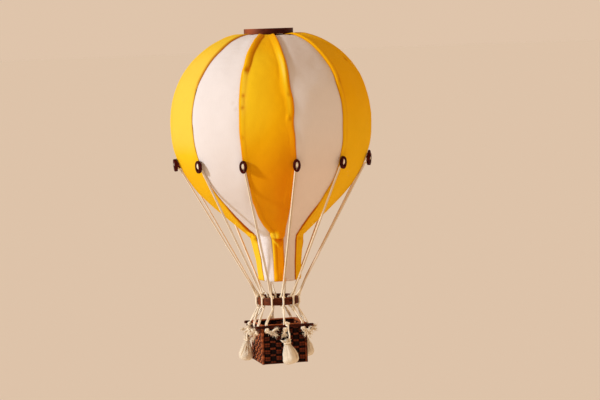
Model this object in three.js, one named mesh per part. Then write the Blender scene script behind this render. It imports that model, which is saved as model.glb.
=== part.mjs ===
// A small decorative hot air balloon that hangs from the disc on its crown.
// Millimetres, +Z up. The origin is the middle of the disc's top face, and the basket's front faces -Y.
// An azimuth is counted from -Y towards +X, so azimuth 0 is the front and 90 is the right side.
import * as THREE from "three";

// Driving dimensions
const DISC_RADIUS = 24;
const DISC_THICKNESS = 4;
const DISC_EDGE = 0.4;

const ENVELOPE_RADIUS = 100;
const ENVELOPE_WIDEST_Z = -90;
const CROWN_RADIUS = 20;
const CROWN_Z = -4.4;
const SHOULDER_RADIUS = 28.2;
const SHOULDER_Z = -201;
const MOUTH_RADIUS = 20.5;
const MOUTH_Z = -246;
const SHELL_THICKNESS = 2.5;
const GORE_COUNT = 12;

const LOOP_Z = -128;
const LOOP_WIDTH = 6.5;
const LOOP_HEIGHT = 12.2;
const LOOP_SIDE_BAR = 1.6;
const LOOP_END_BAR = 2.4;
const LOOP_DEPTH = 3.3;
const LOOP_TILT_DEG = 17;
const LOOP_STANDOFF = 2.2;

const CORD_RADIUS = 0.8;
const CORD_PAIR_OFFSET = 0.95;

const RING_RADIUS = 20.5;
const RING_WALL = 2.8;
const RING_TOP_Z = -262;
const RING_HEIGHT = 7.4;

const BASKET_TOP_Z = -287;
const BASKET_BOTTOM_Z = -326;
const BASKET_HALF = 22.75;
const RIM_HEIGHT = 2.6;
const RIM_OUT = 0.45;
const RIM_WALL = 3;
const POST_SIZE = 2.6;
const WALL_THICKNESS = 1.9;
const WEAVE_RELIEF = 0.3;
const WEAVE_COLUMNS = 9;
const WEAVE_ROWS = 11;
const FLOOR_THICKNESS = 1.6;

const STICK_RADIUS = 1.5;
const STICK_LENGTH = 58;
const STICK_STEP = 3.3;
const STICK_DROP = 2.2;
const SIDE_CORD_SPACING = 18;

const BAG_RADIUS = 8;
const BAG_CORD_RADIUS = 0.8;
const BAG_FOOT_OUT = 0.8;
const BAG_BOTTOM_Z = -325.2;

const SEAT_GAP = 0.3;

// Materials
const materials = {
  yellow: new THREE.MeshStandardMaterial({ color: 0xf6b41c, roughness: 0.85, metalness: 0 }),
  white: new THREE.MeshStandardMaterial({ color: 0xf1e2d6, roughness: 0.85, metalness: 0 }),
  darkWood: new THREE.MeshStandardMaterial({ color: 0x5a2418, roughness: 0.5, metalness: 0 }),
  wicker: new THREE.MeshStandardMaterial({ color: 0x4a160c, roughness: 0.6, metalness: 0 }),
  cotton: new THREE.MeshStandardMaterial({ color: 0xead2a6, roughness: 0.9, metalness: 0 }),
  linen: new THREE.MeshStandardMaterial({ color: 0xe2c9a2, roughness: 0.9, metalness: 0 }),
};

const balloon = new THREE.Group();

function add(name, geometry, material, parent = balloon) {
  const mesh = new THREE.Mesh(geometry, material);
  mesh.name = name;
  parent.add(mesh);
  return mesh;
}

// The envelope's outline as radius (x) against height (y): crown to widest, to the shoulder, to the mouth
const outline = new THREE.CurvePath();
outline.add(new THREE.CubicBezierCurve(
  new THREE.Vector2(CROWN_RADIUS, CROWN_Z),
  new THREE.Vector2(CROWN_RADIUS + 35, CROWN_Z),
  new THREE.Vector2(ENVELOPE_RADIUS, ENVELOPE_WIDEST_Z + 55),
  new THREE.Vector2(ENVELOPE_RADIUS, ENVELOPE_WIDEST_Z),
));
outline.add(new THREE.CubicBezierCurve(
  new THREE.Vector2(ENVELOPE_RADIUS, ENVELOPE_WIDEST_Z),
  new THREE.Vector2(ENVELOPE_RADIUS, ENVELOPE_WIDEST_Z - 55),
  new THREE.Vector2(SHOULDER_RADIUS + 40, SHOULDER_Z + 38),
  new THREE.Vector2(SHOULDER_RADIUS, SHOULDER_Z),
));
outline.add(new THREE.LineCurve(
  new THREE.Vector2(SHOULDER_RADIUS, SHOULDER_Z),
  new THREE.Vector2(MOUTH_RADIUS, MOUTH_Z),
));
const [crownCurve, bellyCurve, neckCurve] = outline.curves;

// Stations down the outline: { curve, t }, closer together where the outline turns
const CROWN_STATIONS = 7;
const BELLY_STATIONS = 8;
const stations = [];
for (let i = 0; i < CROWN_STATIONS; i++) stations.push({ curve: crownCurve, t: i / CROWN_STATIONS });
for (let i = 0; i < BELLY_STATIONS; i++) stations.push({ curve: bellyCurve, t: i / BELLY_STATIONS });
stations.push({ curve: neckCurve, t: 0 });
stations.push({ curve: neckCurve, t: 1 });

// Outer point and inward unit normal of the outline at a station
function outlineAt({ curve, t }) {
  const point = curve.getPoint(t);
  const along = curve.getTangent(t);
  return { point, along, inward: new THREE.Vector2(along.y, -along.x) };
}

// The same, found from a height
function outlineAtHeight(z) {
  const curve = z > ENVELOPE_WIDEST_Z ? crownCurve : z > SHOULDER_Z ? bellyCurve : neckCurve;
  let low = 0;
  let high = 1;
  for (let i = 0; i < 40; i++) {
    const middle = (low + high) / 2;
    if (curve.getPoint(middle).y > z) low = middle;
    else high = middle;
  }
  return outlineAt({ curve, t: low });
}

function polar(radius, azimuth, z) {
  return new THREE.Vector3(radius * Math.sin(azimuth), -radius * Math.cos(azimuth), z);
}

// A box of unit size whose grid points are moved by place(u, v, w), each from 0 to 1
function warpedBox(columns, rows, layers, place) {
  const box = new THREE.BoxGeometry(1, 1, 1, columns, rows, layers);
  const position = box.attributes.position;
  for (let i = 0; i < position.count; i++) {
    const moved = place(position.getX(i) + 0.5, position.getY(i) + 0.5, position.getZ(i) + 0.5);
    position.setXYZ(i, moved.x, moved.y, moved.z);
  }
  return box;
}

// Envelope: twelve gores, yellow and white in turn, each a curved strip of the shell
const GORE_ANGLE = (2 * Math.PI) / GORE_COUNT;
const GORE_COLUMNS = 3;
for (let i = 0; i < GORE_COUNT; i++) {
  const left = (i - 1) * GORE_ANGLE;
  const strip = warpedBox(GORE_COLUMNS, stations.length - 1, 1, (u, v, w) => {
    const { point, inward } = outlineAt(stations[Math.round((1 - v) * (stations.length - 1))]);
    const at = point.clone().addScaledVector(inward, (1 - w) * SHELL_THICKNESS);
    const margin = SEAT_GAP / 2 / at.x;
    return polar(at.x, left + margin + u * (GORE_ANGLE - 2 * margin), at.y);
  });
  const colour = i % 2 === 0 ? "yellow" : "white";
  add(`gore_${colour}_${Math.floor(i / 2) + 1}`, strip, materials[colour]);
}

// A solid of revolution about Z from [radius, z] points, given from the lowest to the highest
function turned(points, segments) {
  const lathe = new THREE.LatheGeometry(points.map(([r, z]) => new THREE.Vector2(r, z)), segments);
  return lathe.rotateX(Math.PI / 2);
}

// Crown disc
add("crown_disc", turned([
  [0, -DISC_THICKNESS],
  [DISC_RADIUS - DISC_EDGE, -DISC_THICKNESS],
  [DISC_RADIUS, DISC_EDGE - DISC_THICKNESS],
  [DISC_RADIUS, -DISC_EDGE],
  [DISC_RADIUS - DISC_EDGE, 0],
  [0, 0],
], 32), materials.darkWood);

// Load ring, with its edges eased
const RING_EASE = 0.6;
const ringInner = RING_RADIUS - RING_WALL;
const ringBottom = RING_TOP_Z - RING_HEIGHT;
add("load_ring", turned([
  [ringInner, ringBottom + RING_EASE],
  [ringInner + RING_EASE, ringBottom],
  [RING_RADIUS - RING_EASE, ringBottom],
  [RING_RADIUS, ringBottom + RING_EASE],
  [RING_RADIUS, RING_TOP_Z - RING_EASE],
  [RING_RADIUS - RING_EASE, RING_TOP_Z],
  [ringInner + RING_EASE, RING_TOP_Z],
  [ringInner, RING_TOP_Z - RING_EASE],
  [ringInner, ringBottom + RING_EASE],
], 28), materials.darkWood);

// Oval loops on the seams: the upper end lies on the fabric, the lower end stands off over the cord
function ovalRing() {
  const shape = new THREE.Shape();
  shape.absellipse(0, 0, LOOP_WIDTH / 2, LOOP_HEIGHT / 2, 0, 2 * Math.PI);
  const hole = new THREE.Path();
  hole.absellipse(0, 0, LOOP_WIDTH / 2 - LOOP_SIDE_BAR, LOOP_HEIGHT / 2 - LOOP_END_BAR, 0, 2 * Math.PI);
  shape.holes.push(hole);
  return new THREE.ExtrudeGeometry(shape, { depth: LOOP_DEPTH, bevelEnabled: false, curveSegments: 14 });
}

const loopSeat = outlineAtHeight(LOOP_Z);
const loopTilt = THREE.MathUtils.degToRad(LOOP_TILT_DEG);
for (let i = 0; i < GORE_COUNT; i++) {
  const azimuth = i * GORE_ANGLE;
  const outward = loopSeat.inward.clone().negate();
  const centre = loopSeat.point.clone().addScaledVector(outward, LOOP_STANDOFF);
  const up = loopSeat.along.clone().negate();
  const face = outward.clone().multiplyScalar(Math.cos(loopTilt)).addScaledVector(up, Math.sin(loopTilt));
  const rise = up.clone().multiplyScalar(Math.cos(loopTilt)).addScaledVector(outward, -Math.sin(loopTilt));
  const loop = add(`cord_loop_${i + 1}`, ovalRing(), materials.darkWood);
  loop.matrixAutoUpdate = false;
  loop.matrix.makeBasis(
    new THREE.Vector3(Math.cos(azimuth), Math.sin(azimuth), 0),
    polar(rise.x, azimuth, rise.y),
    polar(face.x, azimuth, face.y),
  ).setPosition(polar(centre.x, azimuth, centre.y));
}

// A route through hand-picked points, cut exactly at those points
class Route extends THREE.Curve {
  constructor(points) {
    super();
    this.points = points;
  }

  getPointAt(u) {
    return this.points[Math.round(u * (this.points.length - 1))].clone();
  }

  getTangentAt(u) {
    const i = Math.round(u * (this.points.length - 1));
    const before = this.points[Math.max(i - 1, 0)];
    const here = this.points[i];
    const after = this.points[Math.min(i + 1, this.points.length - 1)];
    const tangent = new THREE.Vector3();
    if (i > 0) tangent.add(here.clone().sub(before).normalize());
    if (i < this.points.length - 1) tangent.add(after.clone().sub(here).normalize());
    return tangent.normalize();
  }
}

function tube(points, radius, sides) {
  const section = new THREE.Shape();
  for (let i = 0; i < sides; i++) {
    const angle = (i * 2 * Math.PI) / sides;
    const x = radius * Math.cos(angle);
    const y = radius * Math.sin(angle);
    if (i === 0) section.moveTo(x, y);
    else section.lineTo(x, y);
  }
  section.closePath();
  return new THREE.ExtrudeGeometry(section, { steps: points.length - 1, extrudePath: new Route(points) });
}

// Basket sides in turn: front, right, back and left, with the height of the stick that lies along each
// and the place along it where a sandbag hangs
const frontStickZ = BASKET_TOP_Z - STICK_DROP;
const sides = [
  { name: "front", azimuth: 0, stickZ: frontStickZ, bagAlong: 3 },
  { name: "right", azimuth: Math.PI / 2, stickZ: frontStickZ - STICK_STEP, bagAlong: 13 },
  { name: "back", azimuth: Math.PI, stickZ: frontStickZ, bagAlong: 3 },
  { name: "left", azimuth: -Math.PI / 2, stickZ: frontStickZ - STICK_STEP, bagAlong: -13 },
];
const rimHalf = BASKET_HALF + RIM_OUT;
const stickOut = rimHalf + SEAT_GAP + STICK_RADIUS;

// A point given from a side of the basket: outward from the axis, along the side, and height
function besideBasket(side, out, along, z) {
  return polar(out, side.azimuth, z).add(polar(along, side.azimuth + Math.PI / 2, 0));
}

// Main cords: doubled behind each loop, one strand down inside the load ring,
// the other down its outside and on over a stick of the basket
const cordLift = SEAT_GAP + CORD_RADIUS;
function besideSeam(azimuth, z, across, lift = cordLift) {
  const { point, inward } = outlineAtHeight(z);
  const at = point.clone().addScaledVector(inward, -lift);
  return polar(at.x, azimuth, at.y).add(polar(across, azimuth + Math.PI / 2, 0));
}

function acrossRing(azimuth, radius, z, across) {
  return polar(radius, azimuth, z).add(polar(across, azimuth + Math.PI / 2, 0));
}

const outsideRing = RING_RADIUS + cordLift;
const insideRing = ringInner - cordLift;
for (let i = 0; i < GORE_COUNT; i++) {
  const azimuth = i * GORE_ANGLE;
  const side = sides[Math.floor(((i + 1) % GORE_COUNT) / 3)];
  const along = (((i + 1) % 3) - 1) * SIDE_CORD_SPACING;
  const over = STICK_RADIUS + cordLift;
  add(`main_cord_${i + 1}`, tube([
    besideBasket(side, stickOut + over * 0.87, along, side.stickZ - over * 0.5),
    besideBasket(side, stickOut + over, along, side.stickZ),
    besideBasket(side, stickOut + over * 0.71, along, side.stickZ + over * 0.71),
    besideBasket(side, stickOut, along, side.stickZ + over),
    besideBasket(side, stickOut - 0.3, along * 0.98, BASKET_TOP_Z + 2.4),
    acrossRing(azimuth, outsideRing, ringBottom - 0.6, 0.4),
    acrossRing(azimuth, outsideRing, ringBottom + 1, 0.4),
    acrossRing(azimuth, outsideRing, RING_TOP_Z - 0.6, 0.4),
    besideSeam(azimuth, LOOP_Z - 14, CORD_PAIR_OFFSET),
    besideSeam(azimuth, LOOP_Z - 8, CORD_PAIR_OFFSET),
    besideSeam(azimuth, LOOP_Z - 1, CORD_PAIR_OFFSET),
    besideSeam(azimuth, LOOP_Z + 0.8, CORD_PAIR_OFFSET * 0.7),
    besideSeam(azimuth, LOOP_Z + 1.3, 0),
    besideSeam(azimuth, LOOP_Z + 0.8, -CORD_PAIR_OFFSET * 0.7),
    besideSeam(azimuth, LOOP_Z - 1, -CORD_PAIR_OFFSET),
    besideSeam(azimuth, LOOP_Z - 8, -CORD_PAIR_OFFSET),
    besideSeam(azimuth, LOOP_Z - 14, -CORD_PAIR_OFFSET),
    acrossRing(azimuth, RING_RADIUS - 1, RING_TOP_Z + cordLift + 0.3, -2.2),
    acrossRing(azimuth, insideRing + 1, RING_TOP_Z + cordLift - 0.1, -2.2),
    acrossRing(azimuth, insideRing, RING_TOP_Z - 0.6, -2.2),
    acrossRing(azimuth, insideRing, ringBottom + 1, -2.2),
  ], CORD_RADIUS, 6), materials.cotton);
}

// Sticks round the basket, just under its rim, with ends past the corners
for (const side of sides) {
  const half = STICK_LENGTH / 2;
  add(`stick_${side.name}`, tube([
    besideBasket(side, stickOut, -half, side.stickZ),
    besideBasket(side, stickOut, half, side.stickZ),
  ], STICK_RADIUS, 10), materials.darkWood);
}

// Basket: floor, four woven walls between corner posts, and a rim on top of them
const postOut = BASKET_HALF + 0.15;
const postTop = BASKET_TOP_Z - RIM_HEIGHT - SEAT_GAP;
for (const [name, x, y] of [["front_left", -1, -1], ["front_right", 1, -1], ["back_right", 1, 1], ["back_left", -1, 1]]) {
  const post = new THREE.BoxGeometry(POST_SIZE, POST_SIZE, postTop - BASKET_BOTTOM_Z);
  const mesh = add(`post_${name}`, post, materials.wicker);
  const centre = postOut - POST_SIZE / 2;
  mesh.position.set(x * centre, y * centre, (postTop + BASKET_BOTTOM_Z) / 2);
}

const wallHalf = postOut - POST_SIZE - SEAT_GAP;
const wallMiddle = BASKET_HALF - WALL_THICKNESS / 2 - WEAVE_RELIEF;
for (const side of sides) {
  const wall = warpedBox(WEAVE_COLUMNS, WEAVE_ROWS, 1, (u, v, w) => {
    const inner = u > 0 && u < 1 && v > 0 && v < 1;
    const parity = Math.round(u * WEAVE_COLUMNS + v * WEAVE_ROWS) % 2 === 0 ? 1 : -1;
    const wave = inner ? parity * WEAVE_RELIEF : 0;
    const out = wallMiddle + (w - 0.5) * WALL_THICKNESS + wave;
    const z = THREE.MathUtils.lerp(BASKET_BOTTOM_Z, postTop, v);
    return besideBasket(side, out, THREE.MathUtils.lerp(-wallHalf, wallHalf, u), z);
  });
  add(`wall_${side.name}`, wall, materials.wicker);
}

const floorHalf = wallMiddle - WALL_THICKNESS / 2 - WEAVE_RELIEF - SEAT_GAP;
const floor = add(
  "basket_floor",
  new THREE.BoxGeometry(2 * floorHalf, 2 * floorHalf, FLOOR_THICKNESS),
  materials.wicker,
);
floor.position.z = BASKET_BOTTOM_Z + FLOOR_THICKNESS / 2;

function square(path, half) {
  path.moveTo(-half, -half);
  path.lineTo(half, -half);
  path.lineTo(half, half);
  path.lineTo(-half, half);
  path.closePath();
  return path;
}
const rimShape = square(new THREE.Shape(), rimHalf);
rimShape.holes.push(square(new THREE.Path(), rimHalf - RIM_WALL));
const rim = add(
  "basket_rim",
  new THREE.ExtrudeGeometry(rimShape, { depth: RIM_HEIGHT, bevelEnabled: false }),
  materials.wicker,
);
rim.position.z = BASKET_TOP_Z - RIM_HEIGHT;

// Sandbags: each hangs on a thin cord from the stick beside it and leans on the wall, foot outward.
// Columns: radius as a share of the bag's, and height as a share of the bag from bottom to frill
const BAG_PROFILE = [
  [0, 0],
  [0.72, 0.02],
  [0.97, 0.14],
  [1, 0.27],
  [0.84, 0.47],
  [0.56, 0.66],
  [0.32, 0.8],
  [0.26, 0.86],
  [0.46, 0.98],
  [0.3, 1],
];
const BAG_HEIGHT = 24;
const bagCordOut = stickOut + STICK_RADIUS + SEAT_GAP + BAG_CORD_RADIUS;
const bagOut = BASKET_HALF + SEAT_GAP + BAG_RADIUS + BAG_FOOT_OUT;
for (const side of sides) {
  const top = besideBasket(side, bagCordOut, side.bagAlong, side.stickZ);
  const bottom = besideBasket(side, bagOut, side.bagAlong, BAG_BOTTOM_Z);
  const length = top.distanceTo(bottom);
  const profile = BAG_PROFILE.map(([r, h]) => [r * BAG_RADIUS, h * BAG_HEIGHT]);
  profile.push([BAG_CORD_RADIUS, BAG_HEIGHT + 0.4], [BAG_CORD_RADIUS, length], [0, length]);
  const bag = add(`sandbag_${side.name}`, turned(profile, 12), materials.linen);
  bag.position.copy(bottom);
  bag.quaternion.setFromUnitVectors(new THREE.Vector3(0, 0, 1), top.clone().sub(bottom).normalize());
}

export default balloon;
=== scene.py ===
from math import copysign, cos, pi, radians, sin

import bpy
import numpy as np
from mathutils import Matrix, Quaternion, Vector


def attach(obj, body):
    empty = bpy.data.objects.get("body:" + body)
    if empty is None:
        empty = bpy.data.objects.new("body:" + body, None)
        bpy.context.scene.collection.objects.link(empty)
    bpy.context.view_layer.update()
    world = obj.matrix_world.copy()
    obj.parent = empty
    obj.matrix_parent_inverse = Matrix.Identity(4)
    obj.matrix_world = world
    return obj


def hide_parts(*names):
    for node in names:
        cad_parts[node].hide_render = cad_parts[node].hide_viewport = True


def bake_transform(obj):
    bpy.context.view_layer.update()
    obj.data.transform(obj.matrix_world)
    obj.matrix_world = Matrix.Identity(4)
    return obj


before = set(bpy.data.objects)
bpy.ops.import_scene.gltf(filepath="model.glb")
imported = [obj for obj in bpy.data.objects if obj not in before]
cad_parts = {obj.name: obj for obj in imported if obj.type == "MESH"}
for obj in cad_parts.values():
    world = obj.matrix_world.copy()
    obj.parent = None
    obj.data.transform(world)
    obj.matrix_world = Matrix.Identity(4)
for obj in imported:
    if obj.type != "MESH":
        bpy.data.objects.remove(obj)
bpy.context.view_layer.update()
scene = bpy.context.scene

# Sizes are in millimetres, as in the part's own source, and MM turns them into Blender's metres
MM = 0.001
ROOT = "balloon"

# The part's driving dimensions
ENVELOPE_RADIUS = 100
ENVELOPE_WIDEST_Z = -90
CROWN_RADIUS, CROWN_Z = 20, -4.4
SHOULDER_RADIUS, SHOULDER_Z = 28.2, -201
MOUTH_RADIUS, MOUTH_Z = 20.5, -246
GORE_COUNT = 12
GORE_ANGLE = 2 * pi / GORE_COUNT

DISC_RADIUS, DISC_THICKNESS = 24, 4
LOOP_Z, LOOP_STANDOFF = -128, 2.2
LOOP_WIDTH, LOOP_HEIGHT, LOOP_DEPTH = 6.5, 12.2, 3.3
LOOP_SIDE_BAR, LOOP_END_BAR = 1.7, 2.4
LOOP_TILT = radians(17)
STRAND_RADIUS, STRAND_OFFSET = 0.8, 0.62
RING_RADIUS, RING_WALL = 20.5, 2.8
RING_TOP_Z, RING_HEIGHT = -262, 7.4
BASKET_TOP_Z, BASKET_BOTTOM_Z, BASKET_HALF = -287, -326, 22.75
RIM_HEIGHT, RIM_OUT, RIM_WALL = 2.6, 0.45, 3
POST_SIZE = 2.6
STICK_RADIUS, STICK_LENGTH = 1.5, 58
STICK_DROP, STICK_STEP = 2.2, 3.3
SIDE_CORD_SPACING = 18
BAG_RADIUS, BAG_HEIGHT = 8, 24
BAG_BOTTOM_Z, BAG_FOOT_OUT = -325.2, 0.8
BAG_CORD_RADIUS = 0.8
SEAT_GAP = 0.3

RIM_HALF = BASKET_HALF + RIM_OUT
STICK_OUT = RIM_HALF + SEAT_GAP + STICK_RADIUS
RING_BOTTOM_Z = RING_TOP_Z - RING_HEIGHT

# Basket sides: name, azimuth, height of the stick along it, place along it where a sandbag hangs
SIDES = [
    ("front", 0.0, BASKET_TOP_Z - STICK_DROP, 3),
    ("right", pi / 2, BASKET_TOP_Z - STICK_DROP - STICK_STEP, 13),
    ("back", pi, BASKET_TOP_Z - STICK_DROP, 3),
    ("left", -pi / 2, BASKET_TOP_Z - STICK_DROP - STICK_STEP, -13),
]


# Mesh helpers

UP = np.array([0, 0, 1.0])


def polar(radius, azimuth, z=0.0):
    """Points from radius, azimuth counted from -Y towards +X, and height."""
    radius, azimuth, z = np.broadcast_arrays(radius, azimuth, z)
    return np.stack([radius * np.sin(azimuth), -radius * np.cos(azimuth), z], -1).astype(float)


def beside(azimuth, out, along, z):
    """A point outward from the axis at an azimuth, and then sideways."""
    return polar(out, azimuth, z) + polar(along, azimuth + pi / 2)


def unit(v):
    return v / np.maximum(np.linalg.norm(v, axis=-1, keepdims=True), 1e-12)


def circle(count):
    return np.linspace(0, 2 * pi, count, endpoint=False)


def lengths_along(line, power=1):
    steps = np.linalg.norm(np.diff(line, axis=0), axis=1)
    return np.concatenate([[0], np.cumsum(steps ** power)])


def points_at(places, known, line):
    """Points between those of a line, whose own places are known."""
    return np.stack([np.interp(places, known, column) for column in line.T], -1)


def bump(x, centre, width):
    return np.exp(-(((x - centre) / width) ** 2))


def ramp(x, low, high):
    t = np.clip((x - low) / (high - low), 0, 1)
    return t * t * (3 - 2 * t)


def fade(x, low, high):
    return 1 - ramp(x, low, high)


def squarer(wave, power):
    """A sine or cosine made fuller towards its ends."""
    return np.sign(wave) * np.abs(wave) ** power


def squared(angles, power):
    """Radius of a unit circle drawn out towards a square."""
    return (np.abs(np.cos(angles)) ** power + np.abs(np.sin(angles)) ** power) ** (-1 / power)


def smooth_noise(x, y, scale, seed, waves=28):
    """Seeded smooth noise of about unit height, from random waves round one length."""
    rng = np.random.default_rng(seed)
    angle = rng.uniform(0, 2 * pi, waves)
    length = scale * rng.uniform(0.6, 1.7, waves)
    phase = rng.uniform(0, 2 * pi, waves)
    total = 0
    for a, w, p in zip(angle, length, phase):
        total = total + np.cos(2 * pi * (x * cos(a) + y * sin(a)) / w + p)
    return total * (2 / waves) ** 0.5


def new_object(name, data):
    thing = bpy.data.objects.new(name, data)
    scene.collection.objects.link(thing)
    return thing


def make_piece(name, points, faces, look, node, body, attributes):
    """A smooth mesh piece from points in mm and a list of equal-sided face arrays.
    It rides on a body and stands for a solid of the part, where these are given."""
    material, slot = look
    mesh = bpy.data.meshes.new(name)
    mesh.vertices.add(len(points))
    mesh.vertices.foreach_set("co", (np.asarray(points) * MM).astype(np.float32).ravel())
    sides = np.concatenate([np.full(len(f), f.shape[1]) for f in faces])
    mesh.loops.add(int(sides.sum()))
    mesh.loops.foreach_set("vertex_index", np.concatenate([f.ravel() for f in faces]).astype(np.int32))
    mesh.polygons.add(len(sides))
    mesh.polygons.foreach_set("loop_start", (np.cumsum(sides) - sides).astype(np.int32))
    mesh.update(calc_edges=True)
    for key, values in attributes.items():
        data = mesh.attributes.new(key, "FLOAT_VECTOR", "POINT").data
        data.foreach_set("vector", np.asarray(values, np.float32).ravel())
    mesh.polygons.foreach_set("use_smooth", np.ones(len(sides), bool))
    mesh.materials.append(material)
    piece = new_object(name, mesh)
    if body:
        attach(piece, body)
    if node:
        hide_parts(node)
    return piece


def grid_quads(rows, columns, wrap_rows=False, wrap_columns=False, start=0):
    """Quads between neighbours of a grid of points stored row by row."""
    r = np.arange(rows if wrap_rows else rows - 1)[:, None]
    c = np.arange(columns if wrap_columns else columns - 1)[None, :]
    r2, c2 = (r + 1) % rows, (c + 1) % columns
    quads = np.stack([r * columns + c, r * columns + c2, r2 * columns + c2, r2 * columns + c], -1)
    return quads.reshape(-1, 4) + start


def shading(grid, x, y=0.0):
    """The detail attribute for a grid of points, from two values that fit its rows and columns."""
    return np.stack([np.broadcast_to(value, grid.shape[:2]) for value in (x, y, 0.0)], -1)


class Soup:
    """Collects grids and tubes into one mesh."""

    def __init__(self):
        self.points, self.faces, self.detail, self.count = [], {}, [], 0

    def add(self, points, faces, detail):
        for f in faces:
            self.faces.setdefault(f.shape[1], []).append(f + self.count)
        self.points.append(points.reshape(-1, 3))
        self.detail.append(np.broadcast_to(detail, points.shape).reshape(-1, 3))
        self.count += len(self.points[-1])

    def tube(self, rings, detail=0.0):
        """rings is (stations, sides, 3), closed round each ring and capped at both ends."""
        n, k = rings.shape[:2]
        caps = np.stack([np.arange(k)[::-1], np.arange(k) + (n - 1) * k])
        self.add(rings, [grid_quads(n, k, wrap_columns=True), caps], detail)

    def torus(self, rings, detail):
        """rings is (stations, sides, 3), closed both ways."""
        self.add(rings, [grid_quads(*rings.shape[:2], wrap_rows=True, wrap_columns=True)], detail)

    def piece(self, name, look, node=None, body=ROOT):
        faces = [np.concatenate(f) for f in self.faces.values()]
        detail = np.concatenate(self.detail)
        return make_piece(name, np.concatenate(self.points), faces, look, node, body, {"detail": detail})


def smooth_path(points, step):
    """A centripetal Catmull-Rom curve through the points, cut at even steps of length."""
    p = np.asarray(points, float)
    p = np.vstack([2 * p[0] - p[1], p, 2 * p[-1] - p[-2]])
    k = lengths_along(p, 0.5)
    fine = []
    for i in range(1, len(p) - 2):
        t = np.linspace(k[i], k[i + 1], 24, endpoint=False)[:, None]

        def between(a, b, low, high):
            return (k[high] - t) / (k[high] - k[low]) * a + (t - k[low]) / (k[high] - k[low]) * b

        a = [between(p[j], p[j + 1], j, j + 1) for j in (i - 1, i, i + 1)]
        b = [between(a[j], a[j + 1], i + j - 1, i + j + 1) for j in (0, 1)]
        fine.append(between(b[0], b[1], i, i + 1))
    line = np.vstack([*fine, p[-2:-1]])
    lengths = lengths_along(line)
    at = np.linspace(0, lengths[-1], max(2, int(round(lengths[-1] / step)) + 1))
    return points_at(at, lengths, line)


def sweep(line, radii, angles):
    """Rings along a path, with no twist. radii is (stations, sides) or broadcasts to it."""
    tangent = unit(np.gradient(line, axis=0))
    first = np.cross(tangent[0], UP)
    if np.linalg.norm(first) < 1e-3:
        first = np.cross(tangent[0], [1.0, 0, 0])
    normals = [unit(first)]
    for t in tangent[1:]:
        normals.append(unit(normals[-1] - t * normals[-1].dot(t)))
    normal = np.array(normals)
    across = np.cos(angles)[None, :, None] * normal[:, None]
    up = np.sin(angles)[None, :, None] * np.cross(tangent, normal)[:, None]
    return line[:, None] + np.broadcast_to(radii, (len(line), len(angles)))[..., None] * (across + up)


ROPE_ANGLES, ROPE_PLIES = circle(12), 3


def rope_rings(line, radius, pitch=4.2, phase=0.0):
    """Rings of a twisted cord: round plies that turn with the length."""
    turn = 2 * pi * lengths_along(line) / pitch + phase
    ply = np.abs(np.cos((ROPE_ANGLES[None] - turn[:, None]) * ROPE_PLIES / 2))
    return sweep(line, radius * (0.93 + 0.07 * ply), ROPE_ANGLES)


# Materials

class Nodes:
    """Short ways to add and join the nodes of a material or a world."""

    def __init__(self, tree):
        self.tree = tree

    def put(self, node, key, value):
        """Joins a socket to an input of a node, or gives the input a value."""
        if isinstance(value, bpy.types.NodeSocket):
            self.tree.links.new(value, node.inputs[key])
        else:
            node.inputs[key].default_value = value

    def shade(self, key, value):
        self.put(self.tree.nodes["Principled BSDF"], key, value)

    def add(self, kind, inputs, **settings):
        node = self.tree.nodes.new(f"ShaderNode{kind}")
        for key, value in settings.items():
            setattr(node, key, value)
        for key, value in inputs.items():
            self.put(node, key, value)
        return node

    def math(self, operation, a, b=0.0):
        return self.add("Math", {0: a, 1: b}, operation=operation).outputs[0]

    def total(self, *parts):
        """The sum of sockets, each times its weight."""
        first, *rest = (self.math("MULTIPLY", socket, weight) for socket, weight in parts)
        for part in rest:
            first = self.math("ADD", first, part)
        return first

    def attribute(self, name):
        return self.add("Attribute", {}, attribute_name=name).outputs["Vector"]

    def split(self, vector):
        return self.add("SeparateXYZ", {0: vector}).outputs

    def place(self, kind="Object"):
        return self.add("TexCoord", {}).outputs[kind]

    def noise(self, vector, scale, detail=3.0, roughness=0.5):
        inputs = {"Vector": vector, "Scale": scale, "Detail": detail, "Roughness": roughness}
        return self.add("TexNoise", inputs).outputs["Fac"]

    def stretch(self, vector, *scale):
        return self.add("VectorMath", {0: vector, 1: scale}, operation="MULTIPLY").outputs[0]

    def ramp(self, value, stops):
        node = self.add("ValToRGB", {"Fac": value})
        elements = node.color_ramp.elements
        while len(elements) < len(stops):
            elements.new(0.5)
        for element, (place, colour) in zip(elements, stops):
            element.position = place
            element.color = (*colour, 1)
        return node.outputs["Color"]

    def mix(self, factor, a, b, blend="MIX"):
        a, b = (c if isinstance(c, bpy.types.NodeSocket) else (*c, 1) for c in (a, b))
        return self.add("Mix", {0: factor, 6: a, 7: b}, data_type="RGBA", blend_type=blend).outputs[2]

    def bump(self, height, distance, strength):
        node = self.add("Bump", {"Height": height, "Distance": distance, "Strength": strength})
        self.shade("Normal", node.outputs["Normal"])


CLOTH_ROUGH, CLOTH_SPECULAR, CLOTH_SHEEN = 0.9, 0.06, 0.2
WARM = (1, 0.9, 0.75)


def new_material(name, colour, roughness, specular, sheen=0.0, sheen_tint=(1, 1, 1)):
    material = bpy.data.materials.new(name)
    material.use_nodes = True
    n = Nodes(material.node_tree)
    inputs = {
        "Base Color": (*colour, 1), "Roughness": roughness, "Specular IOR Level": specular,
        "Sheen Weight": sheen, "Sheen Roughness": 0.4, "Sheen Tint": (*sheen_tint, 1),
    }
    for key, value in inputs.items():
        n.shade(key, value)
    return material, n


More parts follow.
